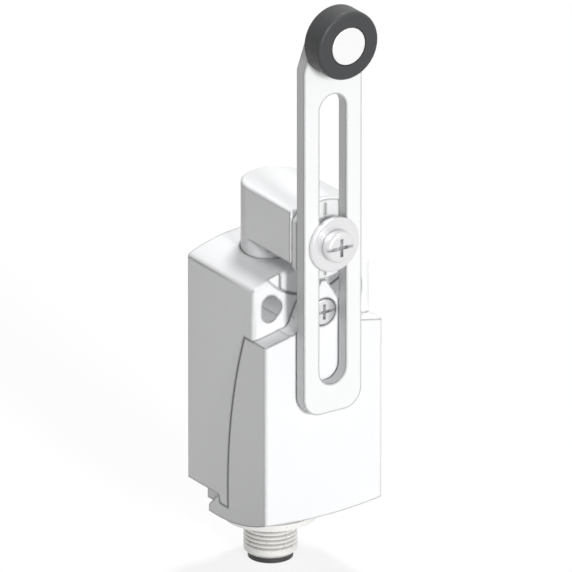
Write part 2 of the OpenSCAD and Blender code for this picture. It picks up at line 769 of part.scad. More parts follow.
module cam() color([0.3, 0.31, 0.33])
    difference() {
        bar_y(cam_r, cam_back_y - cam_w, cam_back_y, z = shaft_z);
        bar_y(shaft_r + 0.01, cam_back_y - cam_w - 1, cam_back_y + 1, z = shaft_z);
        block([-cam_r, cam_back_y - cam_w - 1, shaft_z - cam_r - 1],
              [cam_r, cam_back_y + 1, shaft_z - cam_flat]);
        translate([0, turret_y, shaft_z]) rotate([0, 90, 0]) cylinder(r = 0.75, h = 20, center = true);
    }

module cam_pin() color([0.7, 0.71, 0.73])
    translate([0, turret_y, shaft_z]) rotate([0, 90, 0])
        cylinder(r = 0.73, h = 2 * cam_r - 0.8, center = true, $fn = 32);

module lever_hub() color([0.8, 0.81, 0.82]) {
    difference() {
        union() {
            intersection() {
                bar_y(hub_r, hub_front_y, hub_back_y, z = shaft_z);
                block([-lever_w / 2, hub_front_y - 1, shaft_z - hub_r - 1],
                      [lever_w / 2, hub_back_y + 1, shaft_z + hub_r + 1]);
            }
            bar_y(boss_r, boss_front_y, hub_back_y - 0.5, z = shaft_z);
        }
        intersection() {
            bar_y(stub_r + seat_gap, boss_front_y - 1, hub_back_y + 1, z = shaft_z);
            block([-stub_r + 0.5 - seat_gap, boss_front_y - 2, shaft_z - stub_r - 1],
                  [stub_r - 0.5 + seat_gap, hub_back_y + 2, shaft_z + stub_r + 1]);
        }
        // Upright index marks at the top and the bottom
        for (side = [-1, 1])
            translate([0, hub_front_y, shaft_z + side * (hub_r - 2.25)])
                block([-0.22, -1, -1.35], [0.22, 0.25, 1.35]);
    }
}

// Lever outline, as (x, z): rounded foot, straight sides, tapered and rounded top
module lever_outline() {
    w = lever_w / 2;
    foot_z = shaft_z - lever_tail;
    shoulder = [w, roller_z - lever_taper];
    gap = [0, roller_z] - shoulder;
    d = norm(gap);
    a = atan2(shoulder[1] - roller_z, w) + acos(lever_tip_r / d);
    tangent = [lever_tip_r * cos(a), roller_z + lever_tip_r * sin(a)];
    polygon([[-w, foot_z + lever_corner_r], [w, foot_z + lever_corner_r], shoulder, tangent,
             [-tangent[0], tangent[1]], [-shoulder[0], shoulder[1]]]);
    translate([-w + lever_corner_r, foot_z])
        square([lever_w - 2 * lever_corner_r, lever_corner_r + 1]);
    for (side = [-1, 1])
        translate([side * (w - lever_corner_r), foot_z + lever_corner_r]) circle(lever_corner_r);
    translate([0, roller_z]) circle(lever_tip_r);
}

module lever_plate() color([0.82, 0.83, 0.85])
    difference() {
        along_y(lever_front_y, lever_back_y) lever_outline();
        along_y(lever_front_y - 1, lever_back_y + 1)
            slot_outline(slot_w, shaft_z - lever_tail + slot_foot + slot_w / 2,
                         roller_z - slot_head - slot_w / 2);
        bar_y(pin_dia / 2, lever_front_y - 1, lever_back_y + 1, z = roller_z);
    }

module clamp_washer() color([0.8, 0.81, 0.83])
    difference() {
        translate([0, washer_back_y, shaft_z]) turned_disc(washer_dia / 2, washer_t, 0.3);
        bar_y(clamp_thread_r + 0.3, washer_front_y - 1, washer_back_y + 1, z = shaft_z);
    }

module clamp_screw() color([0.76, 0.77, 0.79]) {
    difference() {
        union() {
            translate([0, washer_front_y, shaft_z])
                turned_disc(clamp_head_dia / 2, clamp_head_h, 0.8);
            bar_y(clamp_thread_r, washer_front_y - 1, boss_front_y + clamp_thread_l - 0.5, z = shaft_z);
        }
        translate([0, clamp_front_y, shaft_z]) {
            drive_recess(4.2, 1.4);
            block([-clamp_head_dia, -eps, -0.35], [clamp_head_dia, 0.7, 0.35]);
        }
    }
}

// ---------- Roller ----------

spacer_t = 0.2;
spacer_r = pin_dia / 2 + 1.7;
spacer_front_y = lever_front_y - spacer_t;
roller_back_y = spacer_front_y - 0.1;
roller_front_y = roller_back_y - roller_w;
roller_r = roller_dia / 2;
roller_bush_r = pin_dia / 2 + 0.7;
pin_recess = 0.9;
pin_head_edge = 0.2;
pin_tail_r = 3.6;                      // rivet head behind the lever
pin_tail_t = 0.75;
pin_head_t = 0.85;

module roller_tyre() color([0.27, 0.28, 0.29])
    translate([0, roller_back_y, roller_z]) rotate([90, 0, 0]) difference() {
        rotate_extrude() {
            translate([0, roller_rear_r]) square([roller_r, roller_w - roller_rear_r - roller_edge_r]);
            square([roller_r - roller_edge_r, roller_w]);
            square([roller_r - roller_rear_r, roller_w / 2]);
            translate([roller_r - roller_rear_r, roller_rear_r]) circle(roller_rear_r, $fn = 32);
            translate([roller_r - roller_edge_r, roller_w - roller_edge_r]) circle(roller_edge_r, $fn = 48);
        }
        translate([0, 0, -1]) cylinder(r = roller_bush_r, h = roller_w + 2);
        translate([0, 0, roller_w - pin_recess]) cylinder(r = pin_head_dia / 2 + 0.2, h = 2);
    }

module roller_bush() color([0.72, 0.58, 0.32])
    difference() {
        bar_y(roller_bush_r - 0.01, roller_front_y + pin_recess, roller_back_y, z = roller_z);
        bar_y(pin_dia / 2 + fit, roller_front_y - 1, roller_back_y + 1, z = roller_z);
    }

module roller_spacer() color([0.8, 0.81, 0.83])
    difference() {
        bar_y(spacer_r, spacer_front_y, lever_front_y, z = roller_z);
        bar_y(pin_dia / 2 + 0.02, spacer_front_y - 1, lever_front_y + 1, z = roller_z);
    }

module roller_pin() color([0.85, 0.86, 0.88]) {
    head_back_y = roller_front_y + pin_recess - 0.1;
    translate([0, head_back_y, roller_z]) turned_disc(pin_head_dia / 2, pin_head_t, pin_head_edge);
    bar_y(pin_dia / 2 - 0.01, head_back_y - 0.5, lever_back_y + 0.1, z = roller_z);
    translate([0, lever_back_y, roller_z]) mirror([0, 1, 0]) turned_disc(pin_tail_r, pin_tail_t, 0.3);
}

// ---------- Plunger ----------

module plunger() color([0.9, 0.9, 0.86])
    translate([0, turret_y, 0]) {
        bar_z(plunger_disc_r, plunger_disc_z, plunger_top_z);
        bar_z(plunger_r, push_z, plunger_disc_z + 0.1);
    }

module plunger_guide() color([0.35, 0.36, 0.38])
    translate([0, turret_y, 0]) difference() {
        bar_z(guide_r, spigot_z, guide_top_z);
        bar_z(plunger_r + 0.04, spigot_z - 1, guide_top_z + 1);
        difference() {
            bar_z(guide_r - guide_rim, guide_floor_z, guide_top_z + 1);
            bar_z(guide_sleeve_r, guide_floor_z - 1, guide_top_z + 2);
        }
    }

module plunger_spring() color([0.6, 0.61, 0.63])
    translate([0, turret_y, 0])
        helix((guide_sleeve_r + guide_r - guide_rim) / 2, 0.3, guide_floor_z, plunger_disc_z, 4);

// ---------- Contact block ----------

function block_screw_places() =
    [for (side = [-1, 1]) [side * (block_half_w - block_screw_inset), (nc_strip_z + no_strip_z) / 2]];

module contact_block() color([0.16, 0.17, 0.18]) {
    difference() {
        block([-block_half_w, block_front_y, block_bottom_z], [block_half_w, block_back_y, block_top_z]);
        block([-chamber_x, chamber_front_y, chamber_bottom_z], [chamber_x, chamber_back_y, chamber_top_z]);
        block([-window_x, block_front_y - 1, chamber_bottom_z],
              [window_x, chamber_front_y + 1, chamber_top_z]);
        bar_z(plunger_r + 0.2, chamber_top_z - 1, block_top_z + 1, y = turret_y);
        both_sides() {
            for (z = [nc_strip_z - strip_t, no_strip_z - strip_t])
                block([terminal_x - strip_w / 2 - 0.1, block_front_y - 1, z - 0.1],
                      [terminal_x + strip_w / 2 + 0.1, chamber_front_y + 1, z + strip_t + 0.1]);
            for (z = terminal_screw_heights())
                bar_y(terminal_screw_r + seat_gap, block_front_y - 1, block_front_y + terminal_screw_l + 0.3,
                      terminal_x, z);
        }
        for (p = block_screw_places()) bar_y(block_screw_r + 0.1, block_front_y - 1, 0, p[0], p[1]);
        for (p = block_screw_places())
            bar_y(screw_well_r, block_front_y - 1, chamber_front_y - screw_seat, p[0], p[1]);
    }
}

function terminal_screw_heights() =
    [nc_strip_z - terminal_h * 0.58, no_strip_z - strip_t + terminal_h * 0.58];

module block_lid() color([0.55, 0.56, 0.55])
    block([-window_x + seat_gap, block_front_y, chamber_bottom_z + seat_gap],
          [window_x - seat_gap, block_front_y + lid_t, chamber_top_z - seat_gap]);

module block_screws() color([0.7, 0.71, 0.73])
    for (p = block_screw_places()) {
        head_y = chamber_front_y - screw_seat - screw_head_h;
        bar_y(block_screw_r, head_y + 1, -block_screw_floor, p[0], p[1]);
        difference() {
            bar_y(block_screw_head_r, head_y, chamber_front_y - screw_seat, p[0], p[1]);
            block([p[0] - block_screw_head_r - 1, head_y - 1, p[1] - 0.25],
                  [p[0] + block_screw_head_r + 1, head_y + 0.5, p[1] + 0.25]);
        }
    }

module contact_carriage() color([0.85, 0.82, 0.7])
    translate([0, turret_y, 0]) difference() {
        union() {
            block([-carriage_x, -carriage_y, carriage_bottom_z], [carriage_x, carriage_y, carriage_top_z]);
            bar_z(plunger_r, carriage_top_z - 1, push_z - slide_gap);
        }
        block([-carriage_x - 1, -window_y, nc_bridge_z - bridge_spring_l],
              [carriage_x + 1, window_y, nc_bridge_z + bridge_t + 0.15]);
        block([-carriage_x - 1, -window_y, no_bridge_z - 0.05],
              [carriage_x + 1, window_y, no_bridge_z + bridge_t + bridge_spring_l]);
        bar_z(return_pocket_r, carriage_bottom_z - 1, carriage_bottom_z + return_pocket);
    }

module return_spring() color([0.6, 0.61, 0.63])
    translate([0, turret_y, 0])
        helix(return_pocket_r - 0.5, 0.3, chamber_bottom_z, carriage_bottom_z + return_pocket, 4);

// Bridge bar whose underside is at height z, with contact rivets on its face side
module bridge(z, side) {
    end_x = contact_x + contact_r + contact_rim;
    block([-end_x, turret_y - bridge_w / 2, z], [end_x, turret_y + bridge_w / 2, z + bridge_t]);
    for (x = [-contact_x, contact_x])
        if (side > 0) bar_z(contact_r, z + bridge_t / 2, z + bridge_t + bridge_rivet_h, x, turret_y);
        else bar_z(contact_r, z - bridge_rivet_h, z + bridge_t / 2, x, turret_y);
}

module moving_bridges() color([0.78, 0.66, 0.36]) {
    bridge(nc_bridge_z, 1);
    bridge(no_bridge_z, -1);
}

module bridge_springs() color([0.6, 0.61, 0.63])
    translate([0, turret_y, 0]) {
        helix(1.4, 0.22, nc_bridge_z - bridge_spring_l, nc_bridge_z, 4, 12);
        helix(1.4, 0.22, no_bridge_z + bridge_t, no_bridge_z + bridge_t + bridge_spring_l, 4, 12);
    }

// Bent strip with its terminal plate: low is the strip's underside, way is +1 if the plate rises
module fixed_contact(low, way) {
    x0 = terminal_x - strip_w / 2;
    x1 = terminal_x + strip_w / 2;
    plate_low = way > 0 ? low : low + strip_t - terminal_h;
    screw_z = terminal_screw_heights()[way > 0 ? 1 : 0];
    difference() {
        union() {
            block([x0, block_front_y - strip_t, plate_low], [x1, block_front_y, plate_low + terminal_h]);
            block([x0, block_front_y - strip_t, low], [x1, chamber_front_y + 0.5, low + strip_t]);
            block([contact_x - contact_r - contact_rim, chamber_front_y, low],
                  [x1 - 0.4, turret_y + bridge_w / 2, low + strip_t]);
        }
        bar_y(terminal_screw_r + 0.1, block_front_y - strip_t - 1, block_front_y + 0.5, terminal_x, screw_z);
    }
    if (way > 0) bar_z(contact_r, low + strip_t / 2, low + strip_t + rivet_h, contact_x, turret_y);
    else bar_z(contact_r, low - rivet_h, low + strip_t / 2, contact_x, turret_y);
}

module fixed_contacts() color([0.8, 0.68, 0.38])
    both_sides() {
        fixed_contact(nc_strip_z - strip_t, -1);
        fixed_contact(no_strip_z - strip_t, 1);
    }

module terminal_screws() color([0.75, 0.76, 0.78])
    both_sides() for (z = terminal_screw_heights()) {
        back = block_front_y - strip_t;
        difference() {
            union() {
                bar_y(terminal_head_r, back - terminal_head_h, back, terminal_x, z);
                bar_y(terminal_screw_r, back - 0.5, block_front_y + terminal_screw_l, terminal_x, z);
            }
            translate([terminal_x, back - terminal_head_h, z]) drive_recess(3.2, 1);
        }
    }

// ---------- Plug ----------

module plug_shell() color([0.78, 0.79, 0.8])
    translate([0, plug_y, 0]) difference() {
        union() {
            intersection() {
                bar_z(flange_r, flange_bottom_z, flange_top_z);
                block([-flange_r - 1, -flange_r - 1, flange_bottom_z - 1],
                      [flange_r + 1, plug_d - 0.25, flange_top_z + 1]);
            }
            bar_z(shank_r, flange_top_z - 0.5, shank_top_z);
            difference() {
                bar_z(thread_r, thread_end_z, flange_bottom_z + 0.5);
                thread_grooves();
            }
        }
        bar_z(insert_r + seat_gap, thread_end_z - 1, insert_web_z + 0.6);
        bar_z(insert_neck_r + seat_gap, thread_end_z - 1, shank_top_z + 1);
    }

// Grooves of the thread, one for each pitch, and the chamfer at its end
module thread_grooves() {
    half = thread_pitch * 0.36;
    count = floor((thread_l - 1.6) / thread_pitch);
    for (i = [0 : count - 1])
        translate([0, 0, flange_bottom_z - 1.2 - i * thread_pitch]) rotate_extrude()
            polygon([[thread_r - thread_depth, 0], [thread_r + 0.1, half * 1.15], [thread_r + 0.1, -half * 1.15]]);
    translate([0, 0, thread_end_z]) rotate_extrude()
        polygon([[thread_r - 0.7, -eps], [thread_r + 0.1, -eps], [thread_r + 0.1, 0.8]]);
}

module plug_insert() color([0.14, 0.14, 0.15])
    translate([0, plug_y, 0]) difference() {
        union() {
            bar_z(insert_r, thread_end_z - insert_proud, insert_web_z + 0.55);
            bar_z(insert_neck_r, insert_web_z, insert_top_z);
            bar_z(insert_neck_r + 0.6, shank_top_z, insert_top_z);
        }
        difference() {
            bar_z(insert_r - insert_wall, thread_end_z - insert_proud - 1, insert_web_z);
            // Key rib inside the socket, midway between two pins
            rotate(45) block([-0.55, insert_r - insert_wall - 0.6, thread_end_z + 0.5],
                             [0.55, insert_r, insert_web_z + 1]);
        }
        for (p = plug_pin_places()) translate([p[0], p[1], 0]) {
            bar_z(plug_pin_r, insert_web_z - 1, insert_top_z + 1);
        }
    }

function plug_pin_places() = [for (a = [0 : 90 : 270]) pin_circle / 2 * [cos(a), sin(a)]];

module plug_pins() color([0.85, 0.7, 0.35])
    translate([0, plug_y, 0]) for (p = plug_pin_places()) translate([p[0], p[1], 0]) {
        bar_z(plug_pin_r, pin_tip_z + 0.4, insert_top_z + 0.5, $fn = 32);
        translate([0, 0, pin_tip_z]) cylinder(r1 = plug_pin_r * 0.5, r2 = plug_pin_r, h = 0.4, $fn = 32);
        bar_z(plug_cup_r, insert_top_z, plug_cup_z, $fn = 32);
    }

module plug_seal() color([0.1, 0.1, 0.1])
    translate([0, plug_y, 0]) difference() {
        bar_z(neck_r, flange_top_z, seal_z);
        bar_z(shank_r + seat_gap, flange_top_z - 1, seal_z + 1);
    }

// Leads from the four terminals to the four plug pins
module lead_wires() color([0.35, 0.4, 0.5]) {
    heights = terminal_screw_heights();
    pin = pin_circle / 2;
    inner_x = terminal_x - terminal_head_r - 0.1;
    column = inner_x - lead_bend - 0.7;
    for (side = [-1, 1]) {
        low_x = side * terminal_x;
        lead([[low_x, lead_y, heights[1] - terminal_head_r - 0.1], [low_x, lead_y, lead_low_z],
              [low_x, plug_y, lead_low_z], [side * pin, plug_y, lead_low_z],
              [side * pin, plug_y, plug_cup_z]]);
        high_x = side * column;
        end_y = plug_y - side * pin;
        lead([[side * inner_x, lead_y, heights[0]], [high_x, lead_y, heights[0]],
              [high_x, lead_y, lead_high_z], [high_x, end_y, lead_high_z],
              [0, end_y, lead_high_z], [0, end_y, plug_cup_z]]);
    }
}

// ---------- Assembly ----------

body_shell();
front_cover();
cover_gasket();
cover_screw();
head_housing();
head_seal();
head_lock_pin();
shaft_bush();
shaft_seal();
shaft_clip();
shaft();
cam();
cam_pin();
lever_hub();
lever_plate();
clamp_washer();
clamp_screw();
roller_tyre();
roller_bush();
roller_pin();
roller_spacer();
plunger();
plunger_guide();
plunger_spring();
contact_block();
block_lid();
block_screws();
contact_carriage();
return_spring();
moving_bridges();
bridge_springs();
fixed_contacts();
terminal_screws();
plug_shell();
plug_insert();
plug_pins();
plug_seal();
lead_wires();
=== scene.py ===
"""Looks of the compact limit switch: paint, plated steel, plastics, studio and camera."""

import json
import math

import bmesh
import bpy
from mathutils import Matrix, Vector

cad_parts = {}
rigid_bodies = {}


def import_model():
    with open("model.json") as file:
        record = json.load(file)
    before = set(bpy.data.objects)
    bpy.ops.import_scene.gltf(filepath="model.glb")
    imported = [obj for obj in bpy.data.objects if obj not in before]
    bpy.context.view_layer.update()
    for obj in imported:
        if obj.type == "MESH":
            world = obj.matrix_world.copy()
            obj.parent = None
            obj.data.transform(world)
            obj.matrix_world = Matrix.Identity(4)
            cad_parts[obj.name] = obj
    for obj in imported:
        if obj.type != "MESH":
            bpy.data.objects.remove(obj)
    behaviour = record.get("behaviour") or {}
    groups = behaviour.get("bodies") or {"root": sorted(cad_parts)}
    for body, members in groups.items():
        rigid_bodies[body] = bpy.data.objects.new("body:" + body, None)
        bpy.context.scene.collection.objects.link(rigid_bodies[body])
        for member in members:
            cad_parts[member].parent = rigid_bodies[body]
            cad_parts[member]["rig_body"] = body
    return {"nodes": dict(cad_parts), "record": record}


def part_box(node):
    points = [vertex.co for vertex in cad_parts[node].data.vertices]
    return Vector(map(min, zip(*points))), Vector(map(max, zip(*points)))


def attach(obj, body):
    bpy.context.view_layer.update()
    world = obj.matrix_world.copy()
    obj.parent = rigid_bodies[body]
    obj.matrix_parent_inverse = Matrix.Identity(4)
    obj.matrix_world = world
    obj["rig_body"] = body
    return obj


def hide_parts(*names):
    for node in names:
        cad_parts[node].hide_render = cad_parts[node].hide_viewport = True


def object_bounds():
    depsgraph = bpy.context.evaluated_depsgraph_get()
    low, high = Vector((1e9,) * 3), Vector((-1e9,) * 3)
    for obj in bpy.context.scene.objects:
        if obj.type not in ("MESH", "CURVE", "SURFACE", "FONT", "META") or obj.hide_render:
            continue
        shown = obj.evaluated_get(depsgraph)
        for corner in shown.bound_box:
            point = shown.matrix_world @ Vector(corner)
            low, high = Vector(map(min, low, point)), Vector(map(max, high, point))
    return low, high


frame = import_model()
cad_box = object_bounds()

MM = 0.001
NODES = frame["nodes"]

# The photograph's view: a long lens, seen from the left, the front and above
VIEW_AZIMUTH = -34.0
VIEW_ELEVATION = 22.5
VIEW_TARGET = Vector((-0.02, -15.76, -0.54)) * MM
VIEW_WIDTH = 125.59 * MM
LENS = 1500.0
SENSOR = 36.0

# The nearest that is drawn, from the camera, and the farthest, past its target
VIEW_NEAR = 0.1
VIEW_PAST_TARGET = 20.0

# Light levels, as a white surface would show them
AMBIENT = 0.25
FRONT_KEY = 0.80
FRONT_KEY_FROM = Vector((-0.12, -0.95, 0.27))
TOP_KEY = 0.70
TOP_KEY_FROM = Vector((0.30, 0.20, 0.93))
KEY_SOFTNESS = 14.0
BACKGROUND = 1.0
FLOOR_GLOW = 0.82
FLOOR_COLOR = 0.94
FLOOR_BOUNCE = 0.46

# The floor's half width, and its gap under the object
FLOOR_REACH = 3.0
FLOOR_GAP = 0.02 * MM

# Edge radii of the finished pieces
CAST_EDGE = 0.15 * MM
STAMPED_EDGE = 0.16 * MM
FINE_EDGE = 0.08 * MM

# How a finished piece is made from its solid: angles in degrees
WELD = 0.002 * MM
FLAT_ANGLE = 0.5
CREASE_ANGLE = 32.0
EDGE_SEGMENTS = 2

# Rays that a material sends to find its edges and gaps
DETAIL_SAMPLES = 6


# ---------- Nodes of a material ----------

class Finish:
    """A Principled material that is built up from procedural detail."""

    def __init__(self, name, color, metallic, roughness):
        self.material = bpy.data.materials.new(name)
        self.material.use_nodes = True
        tree = self.material.node_tree
        self.nodes = tree.nodes
        self.links = tree.links
        self.shader = tree.nodes["Principled BSDF"]
        self.place = self.nodes.new("ShaderNodeTexCoord").outputs["Object"]
        self.shader.inputs["Metallic"].default_value = metallic
        self.color = None
        self.base = (*color, 1.0)
        self.roughness = roughness
        self.bump = None

    def noise(self, size, detail=3.0, stretch=(1.0, 1.0, 1.0), place=None):
        """Noise whose grains are about size metres; stretch lengthens them along an axis."""
        mapping = self.nodes.new("ShaderNodeMapping")
        mapping.inputs["Scale"].default_value = [1.0 / (size * s) for s in stretch]
        self.links.new(place or self.place, mapping.inputs["Vector"])
        node = self.nodes.new("ShaderNodeTexNoise")
        node.inputs["Scale"].default_value = 1.0
        node.inputs["Detail"].default_value = detail
        self.links.new(mapping.outputs["Vector"], node.inputs["Vector"])
        return node.outputs["Fac"]

    def ramp(self, value, low, high, to_low, to_high):
        """value, stretched from low..high to to_low..to_high and held there."""
        node = self.nodes.new("ShaderNodeMapRange")
        sockets = ("From Min", "From Max", "To Min", "To Max")
        for socket, number in zip(sockets, (low, high, to_low, to_high)):
            node.inputs[socket].default_value = number
        self.links.new(value, node.inputs["Value"])
        return node.outputs["Result"]

    def tint(self, mask, color):
        """Moves the colour towards another one where mask is high."""
        node = self.nodes.new("ShaderNodeMix")
        node.data_type = "RGBA"
        self.links.new(mask, node.inputs["Factor"])
        if self.color is None:
            node.inputs["A"].default_value = self.base
        else:
            self.links.new(self.color, node.inputs["A"])
        node.inputs["B"].default_value = (*color, 1.0)
        self.color = node.outputs["Result"]

    def vary_roughness(self, value, swing):
        """Lets the roughness swing about its middle with value."""
        result = self.ramp(value, 0.3, 0.7, self.roughness - swing, self.roughness + swing)
        self.links.new(result, self.shader.inputs["Roughness"])

    def relief(self, value, depth):
        """Adds a bump of this depth in metres."""
        node = self.nodes.new("ShaderNodeBump")
        node.inputs["Strength"].default_value = 1.0
        node.inputs["Distance"].default_value = depth
        self.links.new(value, node.inputs["Height"])
        if self.bump:
            self.links.new(self.bump, node.inputs["Normal"])
        self.bump = node.outputs["Normal"]

    def edges(self, radius, sharpness=0.04):
        """1 on sharp edges and 0 on open faces: the mask for lines painted along edges."""
        bevel = self.nodes.new("ShaderNodeBevel")
        bevel.samples = DETAIL_SAMPLES
        bevel.inputs["Radius"].default_value = radius
        normal = self.nodes.new("ShaderNodeNewGeometry").outputs["Normal"]
        dot = self.nodes.new("ShaderNodeVectorMath")
        dot.operation = "DOT_PRODUCT"
        self.links.new(bevel.outputs["Normal"], dot.inputs[0])
        self.links.new(normal, dot.inputs[1])
        return self.ramp(dot.outputs["Value"], 1.0 - sharpness, 1.0, 1.0, 0.0)

    def gap_shade_mask(self, reach):
        """1 deep in gaps and corners and 0 on open faces: the mask for painted shade."""
        node = self.nodes.new("ShaderNodeAmbientOcclusion")
        node.samples = DETAIL_SAMPLES
        node.inputs["Distance"].default_value = reach
        return self.ramp(node.outputs["AO"], 0.35, 0.9, 1.0, 0.0)

    def sides(self):
        """1 where a face looks sideways and 0 where it looks along Y: the mask for painted side
        shade.
        """
        parts = self.nodes.new("ShaderNodeSeparateXYZ")
        normal = self.nodes.new("ShaderNodeNewGeometry").outputs["Normal"]
        self.links.new(normal, parts.inputs["Vector"])
        size = self.nodes.new("ShaderNodeMath")
        size.operation = "ABSOLUTE"
        self.links.new(parts.outputs["Y"], size.inputs[0])
        return self.ramp(size.outputs["Value"], 0.15, 0.75, 1.0, 0.0)

    def scaled(self, value, factor):
        """value times a number."""
        node = self.nodes.new("ShaderNodeMath")
        node.operation = "MULTIPLY"
        self.links.new(value, node.inputs[0])
        node.inputs[1].default_value = factor
        return node.outputs["Value"]

    def around(self, x, z):
        """Distance from an axis along Y through (x, z)."""
        parts = self.nodes.new("ShaderNodeSeparateXYZ")
        self.links.new(self.place, parts.inputs["Vector"])
        squares = []
        for socket, middle in (("X", x), ("Z", z)):
            shift = self.nodes.new("ShaderNodeMath")
            shift.operation = "SUBTRACT"
            self.links.new(parts.outputs[socket], shift.inputs[0])
            shift.inputs[1].default_value = middle
            square = self.nodes.new("ShaderNodeMath")
            square.operation = "MULTIPLY"
            self.links.new(shift.outputs["Value"], square.inputs[0])
            self.links.new(shift.outputs["Value"], square.inputs[1])
            squares.append(square.outputs["Value"])
        total = self.nodes.new("ShaderNodeMath")
        total.operation = "ADD"
        root = self.nodes.new("ShaderNodeMath")
        root.operation = "SQRT"
        self.links.new(squares[0], total.inputs[0])
        self.links.new(squares[1], total.inputs[1])
        self.links.new(total.outputs["Value"], root.inputs[0])
        spot = self.nodes.new("ShaderNodeCombineXYZ")
        self.links.new(root.outputs["Value"], spot.inputs["X"])
        return spot.outputs["Vector"]

    def done(self):
        """Joins colour and bump to the shader and returns the material."""
        if self.color is None:
            self.shader.inputs["Base Color"].default_value = self.base
        else:
            self.links.new(self.color, self.shader.inputs["Base Color"])
        if not self.shader.inputs["Roughness"].is_linked:
            self.shader.inputs["Roughness"].default_value = self.roughness
        if self.bump:
            self.links.new(self.bump, self.shader.inputs["Normal"])
        return self.material


def shade(color, factor):
    """A colour times a number."""
    return tuple(min(1.0, c * factor) for c in color)


# ---------- Materials ----------

def powder_coat(name, color):
    """Satin paint on a die casting: orange peel and faint cloudiness, with painted shade in gaps and
    corners and painted dark lines along sharp edges.
    """
    finish = Finish(name, color, 0.0, 0.46)
    finish.tint(finish.scaled(finish.noise(9 * MM, 4.0), 0.35), shade(color, 0.955))
    # Painted shade: the paint is darkened deep in gaps and corners.
    finish.tint(finish.scaled(finish.gap_shade_mask(0.7 * MM), 0.5), shade(color, 0.35))
    # Painted shade: dark lines along sharp edges, as outlines.
    finish.tint(finish.scaled(finish.edges(0.7 * MM), 0.9), shade(color, 0.36))
    finish.vary_roughness(finish.noise(3 * MM), 0.05)
    finish.relief(finish.noise(0.55 * MM, 2.0), 0.010 * MM)
    finish.relief(finish.noise(0.12 * MM, 2.0), 0.003 * MM)
    finish.shader.inputs["Coat Weight"].default_value = 0.08
    finish.shader.inputs["Coat Roughness"].default_value = 0.35
    return finish.done()


def satin_steel(name, color, along=(1.0, 1.0, 18.0), roughness=0.36, metallic=0.75, rim=0.22 * MM,
                side_shade=0.0):
    """Rolled or plated steel with fine lines along one axis, and painted shade on the faces that look
    sideways.
    """
    finish = Finish(name, color, metallic, roughness)
    grain = finish.noise(0.10 * MM, 2.0, along)
    finish.tint(finish.scaled(finish.noise(5 * MM, 4.0), 0.35), shade(color, 0.93))
    # Painted shade: the steel is darkened deep in gaps and corners.
    finish.tint(finish.scaled(finish.gap_shade_mask(0.7 * MM), 0.55), shade(color, 0.35))
    # Painted shade: faces that look sideways are darkened.
    if side_shade:
        finish.tint(finish.scaled(finish.sides(), side_shade), shade(color, 0.45))
    # Painted shade: dark lines along sharp edges, as outlines.
    finish.tint(finish.scaled(finish.edges(rim), 0.9), shade(color, 0.30))
    finish.vary_roughness(grain, 0.07)
    finish.relief(grain, 0.0022 * MM)
    return finish.done()


def turned_steel(name, color, axis, roughness=0.30, metallic=0.85):
    """Turned steel: rings about an axis along Y."""
    finish = Finish(name, color, metallic, roughness)
    rings = finish.noise(0.12 * MM, 2.0, place=finish.around(*axis))
    finish.tint(finish.scaled(finish.noise(2.5 * MM, 4.0), 0.3), shade(color, 0.90))
    # Painted shade: dark lines along sharp edges, as outlines.
    finish.tint(finish.scaled(finish.edges(0.18 * MM), 0.50), shade(color, 0.42))
    # Painted shade: the steel is darkened deep in gaps and corners.
    finish.tint(finish.scaled(finish.gap_shade_mask(0.6 * MM), 0.6), shade(color, 0.28))
    finish.vary_roughness(rings, 0.06)
    finish.relief(rings, 0.003 * MM)
    return finish.done()


def plated(name, color, roughness=0.3, metallic=0.35):
    """Dull nickel plate, with faint cloudiness and dull spots."""
    finish = Finish(name, color, metallic, roughness)
    finish.tint(finish.scaled(finish.noise(1.6 * MM, 4.0), 0.4), shade(color, 0.9))
    # Painted shade: the plate is darkened deep in gaps and corners, such as the flange under the
    # housing.
    finish.tint(finish.scaled(finish.gap_shade_mask(0.6 * MM), 0.7), shade(color, 0.35))
    finish.vary_roughness(finish.noise(1.5 * MM), 0.05)
    finish.relief(finish.noise(1.2 * MM, 2.0), 0.0010 * MM)
    return finish.done()


def moulded(name, color, roughness=0.5, grain=0.25 * MM, depth=0.006 * MM, sheen=0.5):
    """Moulded plastic with a fine spark-eroded grain and a painted highlight along its sharp edges.
    """
    finish = Finish(name, color, 0.0, roughness)
    finish.tint(finish.scaled(finish.noise(3 * MM, 3.0), 0.4), shade(color, 1.18))
    # Painted highlight: lighter lines along sharp edges.
    finish.tint(finish.scaled(finish.edges(0.25 * MM), 0.5), shade(color, 1.5))
    finish.vary_roughness(finish.noise(1.2 * MM), 0.08)
    finish.relief(finish.noise(grain, 3.0), depth)
    finish.shader.inputs["Specular IOR Level"].default_value = sheen
    return finish.done()


def soft_rubber(name, color):
    """Matt rubber with a powdery bloom."""
    finish = Finish(name, color, 0.0, 0.72)
    finish.tint(finish.scaled(finish.noise(1.5 * MM, 4.0), 0.5), shade(color, 1.7))
    finish.vary_roughness(finish.noise(0.6 * MM), 0.08)
    finish.relief(finish.noise(0.15 * MM, 3.0), 0.006 * MM)
    return finish.done()


def middle(node):
    """Where a round piece's axis along Y runs, as (x, z)."""
    low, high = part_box(node)
    return ((low.x + high.x) / 2, (low.z + high.z) / 2)


